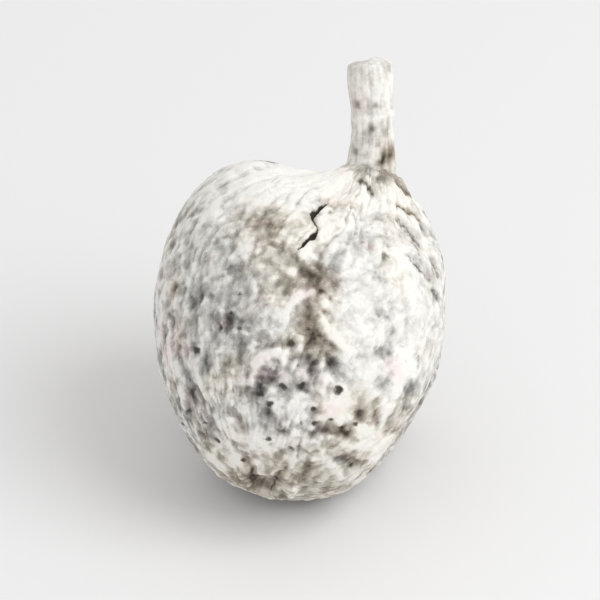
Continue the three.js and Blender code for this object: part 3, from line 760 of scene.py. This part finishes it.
class Nodes:  # the nodes of a material or a world
    def __init__(self, owner):
        owner.use_nodes = True
        self.owner = owner
        self.tree = owner.node_tree
        self.tree.nodes.clear()

    def add(self, kind, settings=None, inputs=None, output=0):  # the one method that adds a node
        node = self.tree.nodes.new(kind)
        for key, value in (settings or {}).items():
            if key == "stops":
                self.setStops(node.color_ramp, value)
            else:
                setattr(node, key, value)
        for key, value in (inputs or {}).items():
            socket = node.inputs[key]
            if isinstance(value, Amount):
                self.tree.links.new(value.socket, socket)
            else:
                socket.default_value = (*value, 1) if socket.type == "RGBA" else value
        return Amount(self, node.outputs[output]) if len(node.outputs) else node

    def setStops(self, ramp, stops):
        while len(ramp.elements) < len(stops):
            ramp.elements.new(0.5)
        for element, (place, colour) in zip(ramp.elements, stops):
            element.position = place
            element.color = (*colour, 1)

    def objectPlaces(self):
        return self.add("ShaderNodeTexCoord", output="Object")

    def attribute(self, label):
        return self.add("ShaderNodeAttribute", {"attribute_name": label}, output="Fac")

    def noise(self, places, size, detail=2, roughness=0.5, output="Fac"):  # size in mm
        inputs = {"Vector": places, "Scale": 1 / (size * mm), "Detail": detail, "Roughness": roughness}
        return self.add("ShaderNodeTexNoise", {}, inputs, output)

    def shifted(self, places, size, amount):  # places moved about by noise, both in mm
        shift = self.noise(places, size, 2, 0.5, "Color")
        return self.add("ShaderNodeVectorMath", {"operation": "MULTIPLY_ADD"},
                        {0: shift, 1: (amount * mm,) * 3, 2: places})

    def step(self, value, low, high, to=(0, 1)):  # smooth step from low to high
        return self.add("ShaderNodeMapRange", {"interpolation_type": "SMOOTHSTEP"},
                        {"Value": value, "From Min": low, "From Max": high, "To Min": to[0], "To Max": to[1]})

    def dots(self, places, size, radius):  # spots of up to that share of a cell, in some cells
        cells = {"Vector": places, "Scale": 1 / (size * mm)}
        draw = self.add("ShaderNodeTexVoronoi", {}, cells, "Color")
        chance = self.add("ShaderNodeSeparateColor", {}, {"Color": draw}, "Red")
        distance = self.add("ShaderNodeTexVoronoi", {}, cells, "Distance")
        return self.step(distance + chance * radius, radius, radius * 0.6)

    def seenRays(self):  # 1 for what is seen, also by a mirror or in glass
        camera = self.add("ShaderNodeLightPath", output="Is Camera Ray")
        glossy = self.add("ShaderNodeLightPath", output="Is Glossy Ray")
        return camera + glossy + self.add("ShaderNodeLightPath", output="Is Transmission Ray")

    def ramp(self, value, stops):
        return self.add("ShaderNodeValToRGB", {"stops": stops}, {"Fac": value})

    def mix(self, amount, first, second, way="MIX"):  # of colours
        return self.add("ShaderNodeMix", {"data_type": "RGBA", "blend_type": way},
                        {0: amount, 6: first, 7: second}, 2)

    def surface(self, **inputs):
        shader = self.add("ShaderNodeBsdfPrincipled", {}, inputs)
        self.add("ShaderNodeOutputMaterial", {}, {"Surface": shader})
        return self.owner


skinColours = {                               # linear, from bare skin to caked flour
    "brown": ((0.0, (0.042, 0.034, 0.025)), (0.18, (0.143, 0.122, 0.093)), (0.36, (0.285, 0.25, 0.2)),
              (0.54, (0.458, 0.418, 0.352)), (0.74, (0.678, 0.643, 0.575)), (0.92, (0.863, 0.843, 0.79))),
    "grey": ((0.0, (0.036, 0.033, 0.031)), (0.18, (0.131, 0.124, 0.118)), (0.36, (0.262, 0.253, 0.24)),
             (0.54, (0.431, 0.422, 0.4)), (0.74, (0.652, 0.645, 0.615)), (0.92, (0.853, 0.847, 0.815))),
    "pink": (1.0, 0.925, 0.94),              # laid over both here and there
    "crack": (0.05, 0.038, 0.03),
}


def unevenness(nodes, places, look):  # broad, middling and fine noise, each around 0
    return [nodes.noise(places, look[size], detail, 0.6) - 0.5
            for size, detail in (("mottleSize", 4), ("fleckSize", 3), ("grainSize", 2))]


def flouredColour(nodes, depth):  # by the depth of flour; greyer, browner or pink
    colour = nodes.mix(nodes.attribute("brown"), nodes.ramp(depth, skinColours["grey"]),
                       nodes.ramp(depth, skinColours["brown"]))
    return nodes.mix(nodes.attribute("pink"), colour, skinColours["pink"], "MULTIPLY")


def bumped(nodes, height):  # a normal that follows a height in mm
    return nodes.add("ShaderNodeBump", {}, {"Strength": 1, "Distance": 1, "Height": height * mm})


skinLook = {                                  # sizes in mm, depths in shares of caked flour, bumps in mm
    "mottleSize": 2.2, "mottle": 0.56, "mottleBump": 0.1,
    "fleckSize": 0.8, "fleck": 0.38, "fleckBump": 0.1,
    "grainSize": 0.26, "grain": 0.12, "grainBump": 0.03,
    "pitSize": 1.4, "pitRadius": 0.3, "pit": 0.12,         # radii are shares of a cell of that size
    "crumbSize": 1.1, "crumbRadius": 0.36, "crumb": 0.12,
    "gritSize": 0.42, "gritRadius": 0.42, "grit": 0.1, "gritBump": 0.03,
    "raggedSize": 0.7, "raggedBy": 0.8,       # the edges of pits and crumbs
    "thickFrom": (0.95, 0.6), "thickKeeps": 0.45,  # how much of the fleck, grain and pits thick flour keeps
    # Clearing a crease of flour darkens it, partly as painted shade.
    "creaseClean": 0.95, "creaseGrain": 0.4,  # how far a crease is cleared of flour, and its own grain
    "creaseEdge": (0.22, -0.16), "creaseRagged": 0.5,      # mm from its edge where it starts, and is full,
    "crackEdge": (0.07, -0.05), "crackRagged": 0.25,       # and how far flecks move that; so for the crack
    "flourBump": 0.1, "bumpFrom": (0.2, 0.8),
    "roughFrom": (0.1, 0.5), "roughness": (0.55, 0.95), "specular": 0.25,  # from bare to caked
}


def skinFinish(look):
    nodes = Nodes(bpy.data.materials.new("floured_skin"))
    places = nodes.objectPlaces()
    ragged = nodes.shifted(places, look["raggedSize"], look["raggedBy"])
    mottle, fleck, grain = unevenness(nodes, places, look)
    pits = nodes.dots(ragged, look["pitSize"], look["pitRadius"])
    crumbs = nodes.dots(ragged, look["crumbSize"], look["crumbRadius"])
    grit = nodes.dots(places, look["gritSize"], look["gritRadius"])
    flour = nodes.attribute("flour")
    uneven = nodes.step(flour, *look["thickFrom"], (look["thickKeeps"], 1))
    depth = flour + mottle * look["mottle"]
    depth = depth + (fleck * look["fleck"] + grain * look["grain"] - pits * look["pit"]) * uneven
    depth = depth + crumbs * look["crumb"] + grit * look["grit"]
    # A crease is cleared of flour down to bare skin: partly real, partly painted shade.
    creaseBareAndShaded = nodes.step(nodes.attribute("bare") + fleck * look["creaseRagged"], *look["creaseEdge"])
    creaseBareAndShaded = creaseBareAndShaded * look["creaseClean"]
    depth = depth - creaseBareAndShaded * (depth - grain * look["creaseGrain"])
    inCrack = nodes.step(nodes.attribute("gap") + fleck * look["crackRagged"], *look["crackEdge"])
    colour = nodes.mix(inCrack, flouredColour(nodes, depth), skinColours["crack"])
    height = (nodes.step(depth, *look["bumpFrom"]) * look["flourBump"] + grain * look["grainBump"]
              + fleck * look["fleckBump"] + mottle * look["mottleBump"] + grit * look["gritBump"])
    roughness = nodes.step(depth, *look["roughFrom"], look["roughness"])
    return nodes.surface(**{"Base Color": colour, "Roughness": roughness, "Normal": bumped(nodes, height),
                            "Specular IOR Level": look["specular"]})


stalkLook = {                                 # the same, for the stalk
    "mottleSize": 2.2, "mottle": 0.5,
    "fleckSize": 0.7, "fleck": 0.4, "fleckBump": 0.06,
    "grainSize": 0.26, "grain": 0.16, "grainBump": 0.03,
    "flourBump": 0.08, "bumpFrom": (0.2, 0.8),
    "roughness": 0.92, "specular": 0.2,
}


def stalkFinish(look):
    nodes = Nodes(bpy.data.materials.new("floured_stalk"))
    mottle, fleck, grain = unevenness(nodes, nodes.objectPlaces(), look)
    depth = nodes.attribute("flour") + mottle * look["mottle"] + fleck * look["fleck"] + grain * look["grain"]
    height = (nodes.step(depth, *look["bumpFrom"]) * look["flourBump"] + grain * look["grainBump"]
              + fleck * look["fleckBump"])
    return nodes.surface(**{"Base Color": flouredColour(nodes, depth), "Roughness": look["roughness"],
                            "Normal": bumped(nodes, height), "Specular IOR Level": look["specular"]})


fruit.data.materials.append(skinFinish(skinLook))
stalkPiece.data.materials.append(stalkFinish(stalkLook))
print("finishes made")


studio = {
    "floorSize": 3.0, "floorColour": (0.82, 0.82, 0.83), "floorRoughness": 0.9, "floorSpecular": 0.1,
    "whiteFrom": (0.2, 1.0),                  # how far away the floor starts to turn white, and is white
    "frameWidth": 0.074, "distance": 0.7, "elevation": 35,
    "aim": ((boxLow[0] + boxHigh[0]) / 2 * mm, 0.0, boxHigh[2] / 2 * mm + 0.005),
    "sky": (1.0, 0.99, 0.975), "skyStrength": 0.78,
    "keyFrom": (0.6, -0.3, 0.74), "keyAway": 0.7, "keySize": 0.55, "keyPower": 2.4,
}


def makeFloor():
    mesh = bpy.data.meshes.new("floor")
    half = studio["floorSize"] / 2
    corners = [(-half, -half, 0), (half, -half, 0), (half, half, 0), (-half, half, 0)]
    mesh.from_pydata(corners, [], [(0, 1, 2, 3)])
    floor = bpy.data.objects.new("floor", mesh)
    bpy.context.scene.collection.objects.link(floor)
    nodes = Nodes(bpy.data.materials.new("white_floor"))
    plainFloor = nodes.add("ShaderNodeBsdfPrincipled", {}, {
        "Base Color": studio["floorColour"], "Roughness": studio["floorRoughness"],
        "Specular IOR Level": studio["floorSpecular"]})
    white = nodes.add("ShaderNodeEmission", {}, {"Color": (1, 1, 1), "Strength": 1})
    away = nodes.add("ShaderNodeVectorMath", {"operation": "LENGTH"}, {0: nodes.objectPlaces()}, "Value")
    far = nodes.step(away, *studio["whiteFrom"])
    both = nodes.add("ShaderNodeMixShader", {}, {0: far * nodes.seenRays(), 1: plainFloor, 2: white})
    nodes.add("ShaderNodeOutputMaterial", {}, {"Surface": both})
    mesh.materials.append(nodes.owner)


def makeSky():  # soft sky light, with plain white where the camera sees it
    world = bpy.data.worlds.new("soft_sky")
    bpy.context.scene.world = world
    nodes = Nodes(world)
    sky = nodes.add("ShaderNodeBackground", {}, {"Color": studio["sky"], "Strength": studio["skyStrength"]})
    white = nodes.add("ShaderNodeBackground", {}, {"Color": (1, 1, 1), "Strength": 1})
    both = nodes.add("ShaderNodeMixShader", {}, {0: nodes.seenRays(), 1: sky, 2: white})
    nodes.add("ShaderNodeOutputWorld", {}, {"Surface": both})


def aimed(thing, place):  # puts it there and turns its -Z to the middle of the fig
    thing.location = place
    thing.rotation_euler = (Vector(studio["aim"]) - Vector(place)).to_track_quat("-Z", "Y").to_euler()


def makeLamp():
    light = bpy.data.lights.new("key_light", "AREA")
    light.shape = "DISK"
    light.size = studio["keySize"]
    light.energy = studio["keyPower"]
    lamp = bpy.data.objects.new("key_light", light)
    bpy.context.scene.collection.objects.link(lamp)
    aimed(lamp, np.array(studio["aim"]) + unit(studio["keyFrom"]) * studio["keyAway"])


def makeCamera():
    lens = bpy.data.cameras.new("camera")
    lens.sensor_width = 36
    lens.lens = lens.sensor_width * studio["distance"] / studio["frameWidth"]
    camera = bpy.data.objects.new("camera", lens)
    bpy.context.scene.collection.objects.link(camera)
    up = math.radians(studio["elevation"])
    away = np.array([0, -math.cos(up), math.sin(up)]) * studio["distance"]
    aimed(camera, np.array(studio["aim"]) + away)
    bpy.context.scene.camera = camera


makeFloor()
makeSky()
makeLamp()
makeCamera()
bpy.context.scene.view_settings.view_transform = "Standard"
print("studio made")
